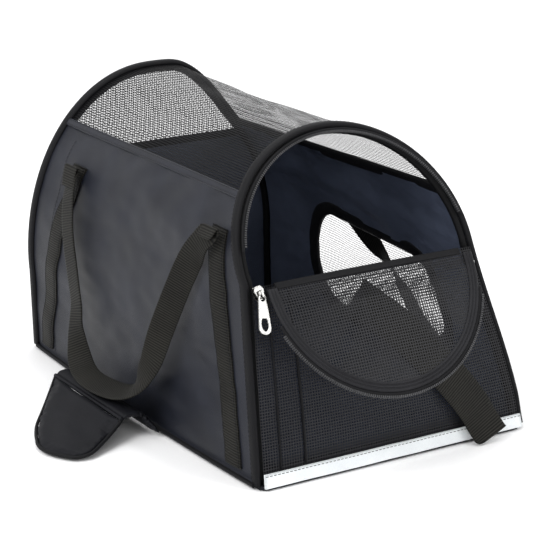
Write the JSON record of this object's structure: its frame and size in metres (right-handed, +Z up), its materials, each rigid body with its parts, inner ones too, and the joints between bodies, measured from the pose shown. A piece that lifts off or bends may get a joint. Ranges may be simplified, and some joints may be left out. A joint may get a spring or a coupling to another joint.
{
  "type": "pet carrier bag",
  "caption": "Soft tunnel-shaped carrier bag with mesh top, front and window, a zipped fold-down front flap, sprung wire arches and two webbing carry handles.",
  "frame": {"origin": "middle of the underside of the bag's base panel", "axes": "+Z up, -Y towards the front end with the zipped flap, -X towards the side whose handle carries the grip cover"},
  "size_m": [0.4487, 0.5083, 0.2974],
  "materials": {
    "side_fabric": "woven polyester, dark charcoal navy",
    "net": "black knitted net",
    "binding_tape": "black woven binding tape",
    "webbing": "black ribbed webbing",
    "grip_fabric": "padded black fabric",
    "board": "plain stiff board",
    "mat_fabric": "brushed dark fleece",
    "pale_strip": "coated, near white",
    "zip_coil": "black nylon coil",
    "nickel": "nickel plated, bright",
    "spring_steel": "bare spring wire",
    "hook_tape": "hook side of a touch fastener"
  },
  "bodies": {
    "bag": {"bag_zip_tape": "binding_tape", "bag_zip_teeth": "zip_coil", "base_board": "board", "bottom_panel": "side_fabric", "far_base_piping": "binding_tape", "far_front_strap": "webbing", "far_rear_strap": "webbing", "far_seam_tape": "binding_tape", "far_side_panel": "side_fabric", "far_window_binding": "binding_tape", "far_window_mesh": "net", "far_zip_stop": "nickel", "flap_hinge_tape": "binding_tape", "front_arch_binding": "binding_tape", "front_bottom_strip": "pale_strip", "front_end_strap": "webbing", "front_frame_wire": "spring_steel", "front_lower_mesh": "net", "near_base_piping": "binding_tape", "near_front_strap": "webbing", "near_rear_strap": "webbing", "near_seam_tape": "binding_tape", "near_side_panel": "side_fabric", "near_zip_stop": "nickel", "rear_arch_binding": "binding_tape", "rear_bottom_strip": "pale_strip", "rear_frame_wire": "spring_steel", "rear_mesh_panel": "net", "top_mesh_panel": "net"},
    "flap": {"flap_mesh": "net", "flap_edge_binding": "binding_tape", "flap_zip_tape": "binding_tape", "flap_zip_teeth": "zip_coil"},
    "slider": {"slider_body": "nickel"},
    "pull": {"pull_tab": "nickel"},
    "near_loop": {"near_handle": "webbing", "grip_cover_core": "grip_fabric"},
    "far_loop": {"far_handle": "webbing"},
    "outer_wing": {"grip_cover_outer_wing": "grip_fabric", "hook_strip": "hook_tape"},
    "inner_wing": {"grip_cover_inner_wing": "grip_fabric"},
    "mat": {"base_mat": "mat_fabric"}
  },
  "joints": [
    {"name": "flap_fold", "type": "hinge", "parent": "bag", "child": "flap", "pos_m": [-0.0175, -0.20471, 0.18375], "axis": [-1, 0, 0], "range_deg": [0, 177]},
    {"name": "slider_travel", "type": "hinge", "parent": "bag", "child": "slider", "pos_m": [-0.0175, -0.19605, 0.19028], "axis": [0, 0.8643, -0.503], "range_deg": [0, 194]},
    {"name": "pull_swing", "type": "hinge", "parent": "slider", "child": "pull", "pos_m": [-0.13249, -0.20944, 0.17622], "axis": [-0.9877, 0.0787, 0.1352], "range_deg": [0, 120]},
    {"name": "near_handle_swing", "type": "hinge", "parent": "bag", "child": "near_loop", "pos_m": [-0.1436, -0.142, 0.22], "axis": [0.0111, 0.9995, -0.0286], "range_deg": [0, 150]},
    {"name": "far_handle_swing", "type": "hinge", "parent": "bag", "child": "far_loop", "pos_m": [0.114, -0.142, 0.204], "axis": [-0.0236, -0.9994, 0.025], "range_deg": [0, 140]},
    {"name": "outer_wing_fold", "type": "hinge", "parent": "near_loop", "child": "outer_wing", "pos_m": [-0.1945, 0, 0.0235], "axis": [0, 1, 0], "range_deg": [0, 85]},
    {"name": "inner_wing_fold", "type": "hinge", "parent": "near_loop", "child": "inner_wing", "pos_m": [-0.1735, 0, 0.0235], "axis": [0, -1, 0], "range_deg": [0, 30]},
    {"name": "mat_lift", "type": "slide", "parent": "bag", "child": "mat", "axis": [0, 0, 1], "range_m": [0, 0.02]}
  ]
}
